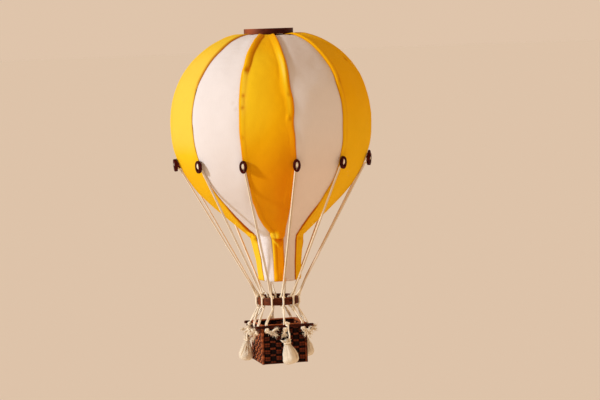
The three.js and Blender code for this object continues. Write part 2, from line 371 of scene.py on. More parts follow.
def woven_colour(n, base, deep, pitch, strength):
    """Colours a plain weave, whose warp and weft take turns on top, and paints shade into its creases. The
    detail attribute holds mm across, mm along and the painted shade of the creases."""
    across, along, crease_shade = n.split(n.attribute("detail"))
    warp, weft = (n.math("SINE", n.math("MULTIPLY", way, pi / pitch)) for way in (across, along))
    weave = n.math("ABSOLUTE", n.math("MULTIPLY", warp, weft))
    n.shade("Base Color", n.mix(crease_shade, n.mix(n.math("MULTIPLY", weave, strength), base, deep), deep))
    return weave


def cotton_material(name, shades, deep, sheen_tint):
    """Plain woven cotton, whose tones run from painted shade through its own colour to painted light, picked
    from 0 to 1 by an attribute.
    """
    material, n = new_material(name, shades[1], CLOTH_ROUGH, CLOTH_SPECULAR, CLOTH_SHEEN, sheen_tint)
    place = n.place()
    slubs = n.noise(n.stretch(n.attribute("detail"), 0.9, 0.12, 0), 1.0, 4.0)
    tone = n.total((slubs, 0.45), (n.noise(place, 55.0), 0.55))
    shade = n.ramp(n.split(n.attribute("painted_light_and_shade"))[0], list(zip((0.0, 0.5, 0.75, 1.0), shades)))
    clouds = n.ramp(tone, [(0.3, (0.95, 0.95, 0.95)), (0.7, (1.0, 1.0, 1.0))])
    weave = woven_colour(n, n.mix(1.0, shade, clouds, "MULTIPLY"), deep, 0.5, 0.09)
    wrinkles = n.math("MULTIPLY", n.noise(place, 240.0, 4.0, 0.6), 0.7)
    n.bump(n.math("ADD", weave, wrinkles), 0.00014, 0.6)
    return material, name


def linen_material(name, colour, deep):
    """Loose linen of the sandbags, woven coarser than the gores."""
    material, n = new_material(name, colour, 0.92, CLOTH_SPECULAR, CLOTH_SHEEN, WARM)
    base = n.ramp(n.noise(n.place(), 260.0), [(0.3, [c * 0.92 for c in colour]), (0.7, colour)])
    n.bump(woven_colour(n, base, deep, 0.55, 0.16), 0.0002, 0.9)
    return material, name


def cord_material(name, colour, deep, shaded):
    """Twisted cotton cord with fine fibres. detail.x is how much a strand is shaded by its neighbour."""
    material, n = new_material(name, colour, CLOTH_ROUGH, CLOTH_SPECULAR, CLOTH_SHEEN, WARM)
    place = n.place()
    fibre = n.noise(n.stretch(place, 1, 1, 0.35), 2600.0, 3.0, 0.6)
    tone = n.total((fibre, 0.6), (n.noise(place, 160.0, 2.0), 0.4))
    fibres = n.ramp(tone, [(0.34, deep), (0.6, colour)])
    n.shade("Base Color", n.mix(n.split(n.attribute("detail"))[0], fibres, shaded))
    n.bump(fibre, 0.00014, 0.5)
    return material, name


def wood_material(name, dark, light, stretch):
    """Stained wood with grain along one axis, rubbed edges and a painted highlight. detail.x is the wear and
    that highlight.
    """
    material, n = new_material(name, light, 0.5, 0.07)
    place = n.stretch(n.place(), *stretch)
    grain = n.noise(place, 900.0, 5.0, 0.62)
    tone = n.total((grain, 0.6), (n.noise(place, 220.0, 2.0), 0.4))
    middle = [(a + 2 * b) / 3 for a, b in zip(light, dark)]
    stained = n.ramp(tone, [(0.36, dark), (0.52, middle), (0.68, light)])
    # Worn edges and the painted highlight both mix towards this paler colour
    wear_and_highlight = [c * k for c, k in zip(light, (2.4, 3.2, 2.8))]
    n.shade("Base Color", n.mix(n.split(n.attribute("detail"))[0], stained, wear_and_highlight))
    n.shade("Roughness", n.math("ADD", n.math("MULTIPLY", grain, 0.25), 0.35))
    n.bump(grain, 0.00012, 0.6)
    return material, "dark_wood"


def wicker_material(name, dark, light):
    """Stained willow. detail.x is painted light, high where a strip stands proud, detail.y the strip's own
    tone.
    """
    material, n = new_material(name, light, 0.45, 0.09)
    proud, strip, _ = n.split(n.attribute("detail"))
    streaks = n.noise(n.place(), 1500.0, 4.0, 0.6)
    tone = n.total((proud, 0.62), (streaks, 0.3), (strip, 0.2))
    middle = [0.6 * a + 0.4 * b for a, b in zip(dark, light)]
    n.shade("Base Color", n.ramp(tone, [(0.36, dark), (0.7, middle), (0.98, light)]))
    n.bump(streaks, 0.00015, 0.6)
    return material, "wicker"


# Each cloth's four tones run from painted shade, through its own colour, to painted light
YELLOW = cotton_material(
    "yellow_cotton", [(0.93, 0.32, 0.001), (0.97, 0.48, 0.002), (0.98, 0.6, 0.012), (0.99, 0.7, 0.13)],
    (0.55, 0.12, 0.001), (1, 0.8, 0.05))
WHITE = cotton_material(
    "white_cotton", [(0.88, 0.73, 0.62), (0.88, 0.8, 0.74), (0.89, 0.82, 0.77), (0.9, 0.84, 0.8)],
    (0.6, 0.45, 0.34), (1, 0.95, 0.9))
DISC_WOOD = wood_material("disc_wood", (0.02, 0.001, 0.001), (0.14, 0.026, 0.01), (0.1, 0.6, 0.6))
RING_WOOD = wood_material("ring_wood", (0.012, 0.001, 0.0006), (0.24, 0.05, 0.015), (0.5, 0.5, 1))
LOOP_WOOD = wood_material("loop_wood", (0.014, 0.0003, 0.0004), (0.075, 0.004, 0.003), (1, 1, 0.3))
STICK_WOOD = wood_material("stick_wood", (0.012, 0.001, 0.001), (0.11, 0.02, 0.007), (0.5, 0.5, 1))
CORD = cord_material("cotton_cord", (1.0, 0.9, 0.7), (0.9, 0.74, 0.52), (0.36, 0.2, 0.1))
WICKER = wicker_material("wicker", (0.004, 0.0004, 0.0003), (0.21, 0.036, 0.009))
# A paler copy of the wicker, as painted light, for the side walls, the posts and the rim
WICKER_PALE = wicker_material("wicker_posts", (0.03, 0.004, 0.002), (0.42, 0.105, 0.03))
LINEN = linen_material("linen", (0.97, 0.84, 0.63), (0.6, 0.4, 0.2))


# The envelope's outline, from the same curves as the part's

def bezier(*corners):
    t = np.linspace(0, 1, 500)[:, None]
    a, b, c, d = (np.array(p, float) for p in corners)
    return (1 - t) ** 3 * a + 3 * (1 - t) ** 2 * t * b + 3 * (1 - t) * t * t * c + t ** 3 * d


def envelope_outline():
    """Lengths down the envelope at even steps, and there its radius, height and outward normal."""
    widest = (ENVELOPE_RADIUS, ENVELOPE_WIDEST_Z)
    crown = bezier((CROWN_RADIUS, CROWN_Z), (CROWN_RADIUS + 35, CROWN_Z),
                   (ENVELOPE_RADIUS, ENVELOPE_WIDEST_Z + 55), widest)
    belly = bezier(widest, (ENVELOPE_RADIUS, ENVELOPE_WIDEST_Z - 55),
                   (SHOULDER_RADIUS + 40, SHOULDER_Z + 38), (SHOULDER_RADIUS, SHOULDER_Z))
    line = np.vstack([crown, belly[1:], [(MOUTH_RADIUS, MOUTH_Z)]])
    lengths = lengths_along(line)
    s = np.arange(0, lengths[-1], 0.25)
    even = points_at(s, lengths, line)
    along = unit(np.gradient(even, axis=0))
    return s, (*even.T, -along[:, 1], along[:, 0])


OUTLINE_S, OUTLINE = envelope_outline()
ENVELOPE_LENGTH = float(OUTLINE_S[-1])


def outline_at(s):
    """Radius, height and outward normal (radial, vertical) at a length down the outline."""
    return [np.interp(s, OUTLINE_S, column) for column in OUTLINE]


def length_at_height(z):
    return float(np.interp(-z, -OUTLINE[1], OUTLINE_S))


SHOULDER_S = length_at_height(SHOULDER_Z)
LOOP_S = length_at_height(LOOP_Z)
# Rows of points down a gore, close together where its folds are: from, to and count
GORE_ROWS = [
    (0, 150, 106), (150, SHOULDER_S - 14, 34), (SHOULDER_S - 14, SHOULDER_S + 24, 58),
    (SHOULDER_S + 24, ENVELOPE_LENGTH, 14),
]
GORE_S = np.concatenate([np.linspace(*row)[:-1] for row in GORE_ROWS] + [[ENVELOPE_LENGTH]])
# Distances from a gore's edge at which it has columns of points, and how many lie between them
YELLOW_EDGE = [0, 0.12, 0.35, 0.7, 1.2, 1.8, 2.5, 3.2, 3.9, 4.6, 5.2, 5.8, 6.4, 7.0, 7.6, 8.3, 9.1, 10.0]
WHITE_EDGE = [0, 1.2, 2.4, 3.4, 4.4, 5.3, 6.1, 6.9, 7.7, 8.8, 10.4]
YELLOW_MIDDLE, WHITE_MIDDLE = 12, 11
# The cloth's thickness, and how far a white gore reaches in under its neighbours
CLOTH = 0.5
TUCK = 5.6
# The gores pull flat between the seams, some more than the others
FLATNESS = {0: 0.25, 3: 0.8, 9: 1.2, None: 0.5}
# How far a gore dips under the disc, and over what length
PINNED = {0: (1.5, 20), 1: (2.0, 20), 2: (1.4, 14), None: (0.8, 8)}
# The neck hangs a little to one side of the axis and is drawn in below the shoulder
NECK_SIDE = radians(77)
NECK_S, NECK_SHIFT = [238, 262, 275, 290, ENVELOPE_LENGTH], [0, 0.9, 1.4, 2.2, 2.8]
NECK_SQUEEZE = 1.4

# How far an edge of a yellow gore reaches past its seam, by length from the crown down. Keys are gore and
# edge (0 left, 1 right), and the last is for the rest. Below 0 the white gore shows as much more
LIPS = {
    (0, 0): [(0, 0.6), (13, 0.4), (24, -1), (38, 0.6), (60, 1.3), (70, 1.7), (76, 2.3), (106, 2), (150, 1.5),
             (230, 1.1), (250, -0.2), (262, -2.7), (280, -2.3), (291, -1.5), (313, -0.4)],
    (0, 1): [(0, -2.4), (66, -2.9), (86, -2.3), (106, -1.3), (126, -1.9), (147, -1), (165, 0.8), (190, 1.6),
             (262, 1.1), (280, 0.1), (300, 0.1), (313, 1.4)],
    (2, 0): [(0, 1.1), (255, 1.1), (268, -0.8), (313, -0.6)],
    (10, 1): [(0, 1), (50, 1.1), (66, -0.2), (86, -2.6), (106, -4.4), (126, -4.4), (147, -3.2), (165, -1.4),
              (250, -1), (262, 0), (272, -1), (300, -1.6), (313, 0)],
    None: [(0, 1)],
}


def lip(index, side, s):
    """Where the edge of yellow gore index lies over its seam, with a small waver."""
    places, reaches = zip(*LIPS.get((index, side), LIPS[None]))
    waver = 0.25 * smooth_noise(s, 0 * s, 30, 30 + 2 * index + side) * ramp(s, 10, 40)
    return np.interp(s, places, reaches) + waver * fade(s, SHOULDER_S - 30, SHOULDER_S)


# Stuffed hems of the yellow gores, keyed as above: rows of length, height, and the crest's and the inner
# valley's distances from the edge
HEMS = {
    (0, 0): [(0, 0, 1.2, 5.5), (7, 1, 1.2, 5.8), (20, 2, 1.8, 6.2), (50, 2.2, 2.5, 6.6), (66, 2.3, 2.8, 6.8),
             (76, 2.2, 2.8, 6.8), (82, 0.5, 1.8, 6.4), (150, 0.4, 1.5, 5.5), (240, 0.45, 1.5, 5),
             (262, 1.1, 2.6, 5.6), (290, 0.9, 2.6, 5), (313, 0.6, 2.2, 4.4)],
    (0, 1): [(0, 0, 1.4, 6), (7, 1, 1.4, 6.5), (20, 1.9, 1.6, 7), (62, 2.5, 2.2, 7.6), (72, 2.5, 3, 8.2),
             (80, 2.4, 3.4, 9), (92, 1.5, 3.3, 9.8), (100, 1.1, 3.2, 9.8), (109, 0.7, 3.4, 9),
             (120, 0.6, 4.2, 8.4), (128, 0.4, 3, 8), (140, 0.3, 1.5, 5.5), (313, 0.3, 1.2, 3.5)],
    (2, 0): [(0, 0, 1.5, 5.5), (8, 1.2, 1.7, 6), (85, 1.8, 1.8, 6.4), (112, 0.5, 1.6, 5.8),
             (200, 0.45, 1.6, 5.5), (250, 0.8, 1.8, 5.5), (268, 0.4, 1.3, 4), (313, 0.3, 1.2, 3.5)],
    (2, 1): [(0, 0, 1.5, 5), (15, 0.9, 1.6, 5.5), (90, 0.6, 1.5, 5.5), (130, 0.3, 1.5, 5),
             (313, 0.3, 1.2, 3.5)],
    (10, 0): [(0, 0, 1.5, 5), (20, 0.4, 1.5, 5), (250, 0.3, 1.5, 5), (264, 0.9, 1.8, 5), (272, 0.3, 1.4, 4),
              (313, 0.3, 1.2, 3.5)],
    (10, 1): [(0, 0, 2, 5.5), (9, 1.2, 2.6, 6.5), (85, 1.6, 2.8, 7), (108, 0.5, 1.8, 6),
              (200, 0.4, 1.6, 5.5), (232, 0.8, 2.6, 6), (255, 1.6, 3, 6), (266, 1.2, 2.6, 5),
              (276, 0.4, 1.5, 4), (313, 0.3, 1.2, 3.5)],
    None: [(0, 0, 1.4, 5.5), (12, 1.2, 1.5, 6), (80, 1.6, 1.6, 6.4), (110, 0.5, 1.5, 5.6),
           (200, 0.4, 1.5, 5.5), (245, 0.8, 1.7, 5.5), (266, 0.4, 1.4, 4.4), (313, 0.3, 1.2, 3.5)],
}


def stuffed_hem(distance, s, full, edge):
    """Height of a hem on a gore so wide there, and the painted shade on its inner side."""
    rows = np.array(HEMS.get(edge, HEMS[None]))
    height, crest, valley = np.moveaxis(points_at(s, rows[:, 0], rows[:, 1:]), -1, 0)
    valley = np.minimum(valley, 0.4 * full)
    crest = np.minimum(crest, 0.4 * valley)
    height = height * ramp(valley, 1.5, 5.0)
    fall = np.clip((distance - crest) / (valley - crest), 0, 1)
    left = edge[1] == 0
    rise = height * ramp(distance, -0.5, crest) * ((1 - fall ** 2) if left else (1 - fall) ** 1.5)
    strength = np.minimum(height / 2.2, 1)
    rise = rise - 0.3 * strength * bump(distance, valley + 0.2, 0.8)
    dark = strength * fall ** 3 * fade(distance, valley - 0.6, valley + 2.6)
    fades = fade(distance / full, 0.38, 0.48) * ramp(s, 5, 18)
    return rise * fades, dark * fades * (0.8 if left else 0.05)


# Dents that show well, keyed as above: length down, distance in from the edge, width, and depth. Below 0
# the depth makes a small swelling
HEM_DENTS = {
    (0, 0): [(75, 4.9, 3.2, 1.2), (101.5, 4.3, 1.9, 0.7), (113, 4, 1.8, 0.65), (141, 3.4, 2.2, 0.35)],
    (0, 1): [(77, 5, 3.4, -0.5), (102, 3.2, 2, 0.4), (100, 5.2, 3, -0.4), (125, 3, 2, 0.3),
             (123, 5.6, 2.4, -0.9)],
    (2, 0): [(90, 4.6, 2.5, 0.5)],
    (2, 1): [(66, 5, 3, 0.5)],
    (11, 1): [(108, 7, 2, 0.28), (114, 4, 2.2, 0.34), (101, 5, 2.4, 0.2)],
}


def hem_dents(distance, s, edge):
    """The dents' height and the painted shade in them."""
    total, dark = 0, 0
    for place, inward, width, depth in HEM_DENTS.get(edge, ()):
        hollow = bump(s, place, width) * bump(distance, inward, 1.5)
        total = total - depth * hollow
        dark = dark + max(0, min(0.7, depth)) * hollow
    return total, dark


# Distance of the stitches from the edge of a gore
STITCHES = 5.8


def pucker(edge, s, seed, count, depth):
    """Small dents along a hem's stitching, each running a little way into the panel."""
    rng = np.random.default_rng(seed)
    total = 0
    for place in np.sort(rng.uniform(20, SHOULDER_S - 12, count)):
        lean, width, size, reach = rng.uniform([-0.5, 1.6, 0.35, 2.0], [0.5, 3.4, 1.0, 6.0])
        line = s - place - lean * (edge - STITCHES)
        dent = 0.6 * bump(line, width * 1.5, width) * np.exp(-np.maximum(edge - 4, 0) / reach)
        total = total + depth * size * (dent - bump(line, 0, width) * bump(edge, STITCHES, 1.3))
    return total


# Ridges and hollows at the shoulder of the gores that show: x and length past the shoulder, angle in
# degrees, reach, width and height. The other yellow gores have random ones between two limits
SHOULDER_FOLDS = {
    0: [(2.8, -2.2, 90, 4.2, 6.4, 4.6), (4.2, 2.4, 0, 4, 2, -2.8), (-0.8, 3.6, 56, 6, 1.7, 2.8),
        (-4.8, -6, 0, 1.3, 1.3, -1.5), (-1, 40, 0, 2.4, 3, 0.7)],
    2: [(0.5, -2, -6, 5.5, 1.8, 1.9), (-4.5, -7, -30, 3, 2.2, -1.2), (1, 3.8, 8, 5, 1.8, -0.9)],
    10: [(2.6, 1.5, 14, 5, 2, 2.2), (3.5, -5, 24, 4.5, 2.2, -1.6), (-3, -1.5, -20, 4, 2.2, 2),
         (1.5, 6.4, 20, 4, 1.6, -0.9)],
}
FOLD_LIMITS = (-4.5, -3, -55, 3, 1.1, -0.9), (4.5, 16, 55, 6, 2.2, 1.0)
RANDOM_FOLDS = 7


def shoulder_folds(x, s, index):
    """Height of the folds in the cloth of a yellow gore."""
    rows = SHOULDER_FOLDS.get(index)
    if rows is None:
        rows = np.random.default_rng(70 + index).uniform(*FOLD_LIMITS, (RANDOM_FOLDS, 6))
    total = 0
    for x0, past, angle_deg, reach, width, height in rows:
        a, down = radians(angle_deg), s - SHOULDER_S - past
        along = (x - x0) * cos(a) + down * sin(a)
        across = down * cos(a) - (x - x0) * sin(a)
        total = total + height * bump(along, 0, reach) * bump(across, 0, width)
    return total


def gore_columns(full, edge_steps, middle):
    """Distances across a gore, from its left edge to its right, with columns close together at the hems."""
    edges = np.array(edge_steps) * np.minimum(1, 0.42 * full / edge_steps[-1])
    last = edges[:, -1:]
    inner = last + (full - 2 * last) * np.linspace(0, 1, middle + 2)[1:-1]
    return np.hstack([edges, inner, full - edges[:, ::-1]])


# Painted light (to 1) and painted shade (to -1) on a gore: at its top, and the changes between two lengths.
# The last row is for the other yellow gores. The front one has its own painted light and shade
PAINTED_LIGHT_AND_SHADE = {
    1: [-0.25, (0.25, 55, 90), (-0.9, 120, 190)], 2: [-0.05, (0.3, 85, 150)], 11: [0, (1, 256, 268)],
    10: [0.6, (0.12, 40, 70), (-0.56, 140, 185), (0.4, 255, 275)], None: [0.1, (-0.5, 130, 220)],
}


def painted_light_and_shade(index, x, s, half, distances, folds):
    """Painted light and shade over a gore, from -1 to 1."""
    if index == 0:
        # The front gore: painted highlights on its right hem, its left border at the neck and the fold
        # slopes that face the light; painted shade towards its right, low down, at its top and in its hems'
        # valleys
        across = x / half
        lit = np.interp(s, [10, 60, 79, 97, 117, 130], [0, 1.1, 1.35, 0.7, 0.5, 0])
        lit *= bump(distances[1], 4.8, 2.4)
        wear_and_highlight = fade(distances[0], 1.0, 3.0) * ramp(s, 261, 265) * (1 - 0.6 * ramp(s, 284, 300))
        slope = np.gradient(folds, axis=1) / np.maximum(np.gradient(x, axis=1), 0.05)
        raised = bump(x, -0.2, 4.4) * bump(s, SHOULDER_S - 5.0, 2.6)
        pale = np.maximum(wear_and_highlight, np.clip(1.6 * slope + raised, 0, 1))
        hem = 4.6 * (s < 77)
        left_hem = fade(distances[0], 1.4 + hem, 2.8 + hem) * fade(s, 240, 262)
        right_hem = fade(distances[1], 1.2, 2.6) * fade(s, 130, 160)
        tone = (0.26 - 0.35 * across - 0.25 * np.maximum(across, 0) + 0.75 * lit - 0.98 * ramp(s, 110, 195)
                - 0.3 * fade(s, 35, 65) - 0.55 * left_hem - 0.8 * right_hem)
        return tone + (0.55 - tone) * pale
    top, *changes = PAINTED_LIGHT_AND_SHADE.get(index, [0] if index % 2 else PAINTED_LIGHT_AND_SHADE[None])
    return top + sum(change * ramp(s, low, high) for change, low, high in changes)


def gore(index):
    """One gore as thin cloth with an outer and an inner face."""
    yellow = index % 2 == 0
    s = GORE_S[:, None]
    radius, z, normal_r, normal_z = outline_at(s)
    half = radius * GORE_ANGLE / 2
    if yellow:
        reach = [lip(index, side, s) for side in (0, 1)]
        across = gore_columns(2 * half + reach[0] + reach[1], YELLOW_EDGE, YELLOW_MIDDLE)
    else:
        reach = [np.minimum(TUCK, half * np.interp(s, [200, 250], [0.62, 0.42]))] * 2
        across = gore_columns(2 * (half + reach[0]), WHITE_EDGE, WHITE_MIDDLE)
    rows, full = s + 0 * across, across[:, -1:]
    x = across - (half + reach[0])
    distances = (across, full - across)
    left = distances[0] <= distances[1]
    crease_shade = np.zeros_like(x)

    # Taut cloth over a round form. Past a seam it follows the next gore
    within = half - np.abs(np.abs(x) - half)
    flatness = FLATNESS.get(index, FLATNESS[None])
    rise = radius * flatness * (cos(GORE_ANGLE / 2) / np.cos(within / radius) - 1)
    # The hems lie flat where a loop is sewn on
    held = ramp(rows, LOOP_S - 16, LOOP_S - 8) * fade(rows, LOOP_S + 18, LOOP_S + 34)
    for side, near in enumerate((left, ~left)):
        edge, distance = (index, side), distances[side]
        if yellow:
            hem, dark = stuffed_hem(distance, rows, full, edge)
            dents, dent_dark = hem_dents(distance, rows, edge)
            layers = 0.32 * ramp(distance, -0.1, 0.9) * (1 - 0.6 * ramp(distance, STITCHES, STITCHES + 3))
            puckers = pucker(distance, rows, 200 + 2 * index + side, 11, 0.3)
            puckers *= fade(distance / full, 0.36, 0.48)
            rise += near * (hem * (1 - 0.7 * held) + layers * (1 - 0.6 * held) + dents + puckers - 0.1)
            # Painted shade on the hem's inner slope, in its dents and in a thin line along its edge
            crease_shade += near * (dark + dent_dark + 0.4 * fade(distance, 0.1, 0.6))
            # Painted shade in lines along these two edges, mostly near the shoulder
            if edge in ((2, 0), (10, 1)):
                low = 1 - side * ramp(rows, 258, 266)
                crease_shade += near * 0.9 * low * fade(distance, 0.6, 1.5) * ramp(rows, 215, 232)
                crease_shade += near * 0.5 * side * fade(distance, 0.6, 2.0) * fade(rows, 80, 100)
                crease_shade += near * 0.6 * side * fade(distance, 1.5, 4.6) * bump(rows, 254, 12)
            uneven = ramp(distance, 2, 14)
        else:
            # The part below the yellow gore's edge lies a cloth's thickness deeper
            covered = reach[side] + lip((index - 1 + 2 * side) % GORE_COUNT, 1 - side, s)
            inward = distance - covered + 1.1
            dents, dent_dark = hem_dents(inward, rows, edge)
            rise -= near * 0.48 * fade(distance, covered, covered + 5 + 6 * (side == 0))
            rise -= near * 1.9 * fade(distance, 0, covered)
            rise += near * (0.5 * pucker(inward, rows, 300 + 2 * index + side, 9, 0.2) + dents)
            # Painted shadow in a line beside the yellow gore's edge, and painted shade in the dents
            crease_shade += near * (0.3 * fade(distance, covered + 0.2, covered + 1.2) + dent_dark)
            uneven = ramp(distance, covered, covered + 12)
        for height, scale, seed in ((0.3, 46, 11), (0.06, 11, 40)):
            rise += near * height * smooth_noise(x, rows, scale, seed + index) * uneven
    # Painted shade low on the front gore, at the top of the white gore to its right, and in the hollows of
    # the folds
    if index == 0:
        crease_shade += 0.13 * ramp(rows, 125, 165) * fade(rows, 240, 255)
    if index == 1:
        crease_shade += 0.3 * fade(rows, 60, 105)
    folds = shoulder_folds(x, rows, index) if yellow else 0 * x
    crease_shade += 0.5 * np.clip(-folds / 1.6, 0, 1)
    rise += folds
    if not yellow:
        rise += 0.1 * bump(rows, SHOULDER_S + 4, 16) * smooth_noise(x, rows, 9, 90 + index) * (within > 0)
    drop, reach_down = PINNED.get(index, PINNED[None])
    rise -= drop * fade(rows, 3, reach_down)
    # The hem turned up round the mouth, whose rim isn't quite level
    from_mouth = ENVELOPE_LENGTH - rows
    rise += 0.3 * fade(from_mouth, 3.2, 4.2) - 0.3 * fade(from_mouth, 0, 0.8)
    lower = 0.5 * sin(index * 2.4) * fade(from_mouth, 0, 20)

    azimuth = (index - 0.5) * GORE_ANGLE + x / radius
    aside = polar(1.0, NECK_SIDE) * np.interp(rows, NECK_S, NECK_SHIFT)[..., None]
    squeeze = NECK_SQUEEZE * ramp(s, 256, 272) * fade(s, 290, 311)
    faces = [
        polar(radius - squeeze + offset * normal_r, azimuth, z + offset * normal_z - lower) + aside
        for offset in (rise, np.minimum(rise, 0.2) - CLOTH)
    ]
    n, k = across.shape
    top = grid_quads(n, k)[:, ::-1]
    bottom = grid_quads(n, k, start=n * k)
    grid = np.arange(n * k).reshape(n, k)
    rim = np.concatenate([grid[0], grid[1:, -1], grid[-1, -2::-1], grid[-2:0:-1, 0]])
    following = np.roll(rim, -1)
    border = np.stack([rim, following, following + n * k, rim + n * k], -1)
    detail = np.stack([across, rows, np.clip(crease_shade, 0, 1)], -1)
    light_and_shade = shading(x, np.clip(0.5 + 0.5 * painted_light_and_shade(index, x, rows, half, distances, folds), 0, 1))
    twice = {
        key: np.tile(values.reshape(-1, 3), (2, 1)) for key, values in (("detail", detail), ("painted_light_and_shade", light_and_shade))
    }
    look = YELLOW if yellow else WHITE
    node = f"gore_{'yellow' if yellow else 'white'}_{index // 2 + 1}"
    points = np.concatenate([face.reshape(-1, 3) for face in faces])
    piece = make_piece(f"{node}_cloth", points, [top, bottom, border], look, node, ROOT, twice)


for index in range(GORE_COUNT):
    gore(index)


# Turned and oval wooden pieces

CORNER_STEPS = 5
# Azimuth of the painted highlight on the turned pieces
HIGHLIGHT_SIDE = radians(-65)
# In the photo the disc is a little thicker and the loops' sides are rounder than in the part
DISC_SAG, LOOP_PLUMP = 1.4, 0.35


def turned_piece(node, box, ease, segments, look, wear_and_highlight, side_highlight):
    """A ring turned from a box of low and high radius and height, with rubbed corners and a painted
    highlight on one side.
    """
    low_r, high_r, low_z, high_z = box
    profile, wear = [], []
    for r, z, start in ((high_r, low_z, -90), (high_r, high_z, 0), (low_r, high_z, 90), (low_r, low_z, 180)):
        centre_r = r - copysign(ease, r - (low_r + high_r) / 2)
        centre_z = z - copysign(ease, z - (low_z + high_z) / 2)
        for i in range(CORNER_STEPS + 1):
            a = radians(start + 90 * i / CORNER_STEPS)
            profile.append((centre_r + ease * cos(a), centre_z + ease * sin(a)))
            wear.append(wear_and_highlight * sin(pi * i / CORNER_STEPS))
    profile, angles = np.array(profile), circle(segments)
    rings = polar(profile[None, :, 0], angles[:, None], profile[None, :, 1])
    # Painted highlight on one side, near the outer edge
    from_highlight = np.angle(np.exp(1j * (angles - HIGHLIGHT_SIDE)))[:, None]
    outside = ramp(profile[:, 0] / profile[:, 0].max(), 0.85, 0.97)
    soup = Soup()
    soup.torus(rings, shading(rings, np.array(wear) + side_highlight * bump(from_highlight, 0, 0.5) * outside))
    soup.piece(f"{node}_wood", look, node)


# The disc's small middle hole doesn't show, so its profile ends near the axis
turned_piece("crown_disc", (0.25, DISC_RADIUS, -DISC_THICKNESS - DISC_SAG, 0), 0.12, 128,
             DISC_WOOD, 0.21, 0.95)
turned_piece("load_ring", (RING_RADIUS - RING_WALL, RING_RADIUS, RING_BOTTOM_Z, RING_TOP_Z), 0.7, 96,
             RING_WOOD, 0.245, 0.12)


def loop_piece(index):
    """An oval ring with a rounded bar, seated as in the part."""
    radius, z, normal_r, normal_z = outline_at(LOOP_S)
    azimuth = index * GORE_ANGLE
    outward = np.array([normal_r, normal_z])
    up = np.array([-normal_z, normal_r])
    face = outward * cos(LOOP_TILT) + up * sin(LOOP_TILT)
    rise = up * cos(LOOP_TILT) - outward * sin(LOOP_TILT)
    centre = np.array([radius, z]) + outward * LOOP_STANDOFF
    lift, out, middle = (polar(v[0], azimuth, v[1]) for v in (rise, face, centre))
    plane = np.array([polar(1.0, azimuth + pi / 2), lift])
    t, a = circle(48)[:, None], circle(20)[::-1]
    oval = np.stack([np.cos(t), np.sin(t)], -1)
    edge = oval * [LOOP_WIDTH / 2 + LOOP_PLUMP, LOOP_HEIGHT / 2]
    hole = oval * [LOOP_WIDTH / 2 - LOOP_SIDE_BAR - LOOP_PLUMP / 2, LOOP_HEIGHT / 2 - LOOP_END_BAR]
    wide, deep = (squarer(wave, 0.5)[:, None] for wave in (np.cos(a), np.sin(a)))
    flat = (edge + hole) / 2 + (edge - hole) / 2 * wide
    rings = middle + flat @ plane + out * (deep + 1) * LOOP_DEPTH / 2
    soup = Soup()
    soup.torus(rings, shading(rings, 0.1 + 0.1 * smooth_noise(rings[..., 0], rings[..., 2], 4, 150 + index)))
    soup.piece(f"cord_loop_{index + 1}_wood", LOOP_WOOD, f"cord_loop_{index + 1}")


for index in range(GORE_COUNT):
    loop_piece(index)


# Main cords

STRAND_LIFT = SEAT_GAP + STRAND_RADIUS
# Half the distance between the two strands, side by side above the ring and turning below it
ALONGSIDE, CLOSE_BY = 0.64, 0.6
# The strand that passes outside the ring is drawn a little thinner
OUTER_STRAND = 0.88
# Radius of a strand by height: slim above the load ring, spread where it is pressed on the ring
STRAND_Z = [
    BASKET_TOP_Z - 8, RING_BOTTOM_Z - 5, RING_BOTTOM_Z, RING_TOP_Z, RING_TOP_Z + 6, LOOP_Z - 6, LOOP_Z - 2,
]
STRAND_R = [0.74, 0.74, 0.98, 1.02, 0.68, 0.66, 0.84]
# Cords with thicker strands above the ring, and how strongly each cord is shaded there
FULLER = {2: 1.25, 3: 1.15}
SHADED = {0: 0.8, 1: 0.8, 2: 1.4, 3: 1.3, 7: 0, 8: 0.7}
# A strand's way from inside its loop's hole, out under the loop's lower end and down beside the seam:
# height from the loop's middle, distance across and lift
OUT_OF_LOOP = [
    (3.4, 0.3, 1.2), (2.4, 0.45, 2.6), (0.4, 0.52, 3.3), (-2.2, 0.55, 2.0), (-4.6, 0.6, 0.2),
    (-9, STRAND_OFFSET, 0), (-14, STRAND_OFFSET, 0),
]
# Past the load ring, one strand outside it and the other inside: radius, distance across and height
RING_OUTSIDE, RING_INSIDE = RING_RADIUS + 1.3, RING_RADIUS - RING_WALL - 1.3
PAST_RING = [
    (RING_OUTSIDE + 0.7, 0.5, RING_TOP_Z + 1.6), (RING_OUTSIDE, 0.4, RING_TOP_Z - 0.9),
    (RING_OUTSIDE, 0.4, RING_BOTTOM_Z + 1.2),
]
THROUGH_RING = [
    (RING_RADIUS - 0.8, -1.5, RING_TOP_Z + STRAND_LIFT + 0.3),
    (RING_INSIDE + 0.9, -1.6, RING_TOP_Z + STRAND_LIFT - 0.2),
    (RING_INSIDE, -1.6, RING_TOP_Z - 1.4), (RING_INSIDE, -1.4, RING_BOTTOM_Z + 0.8),
    (RING_INSIDE + 1.5, -0.9, RING_BOTTOM_Z - 1.4),
]
# Behind the stick: out from it, distance across and height from it
BEHIND_STICK = [(-0.5, 0.72, 1.4), (-0.6, 0.72, 0), (-0.4, 0.648, -1.2), (0.6, 0.432, -1.8)]


def cord_place(index):
    """Azimuth of the side that a main cord comes down on, its stick's height and the place along it."""
    _, azimuth, stick_z, _ = SIDES[(index + 1) % GORE_COUNT // 3]
    return azimuth, stick_z, ((index + 1) % 3 - 1) * SIDE_CORD_SPACING


def beside_seam(azimuth, z, across, lift):
    radius, height, normal_r, normal_z = outline_at(length_at_height(z))
    return beside(azimuth, radius + lift * normal_r, across, height + lift * normal_z)


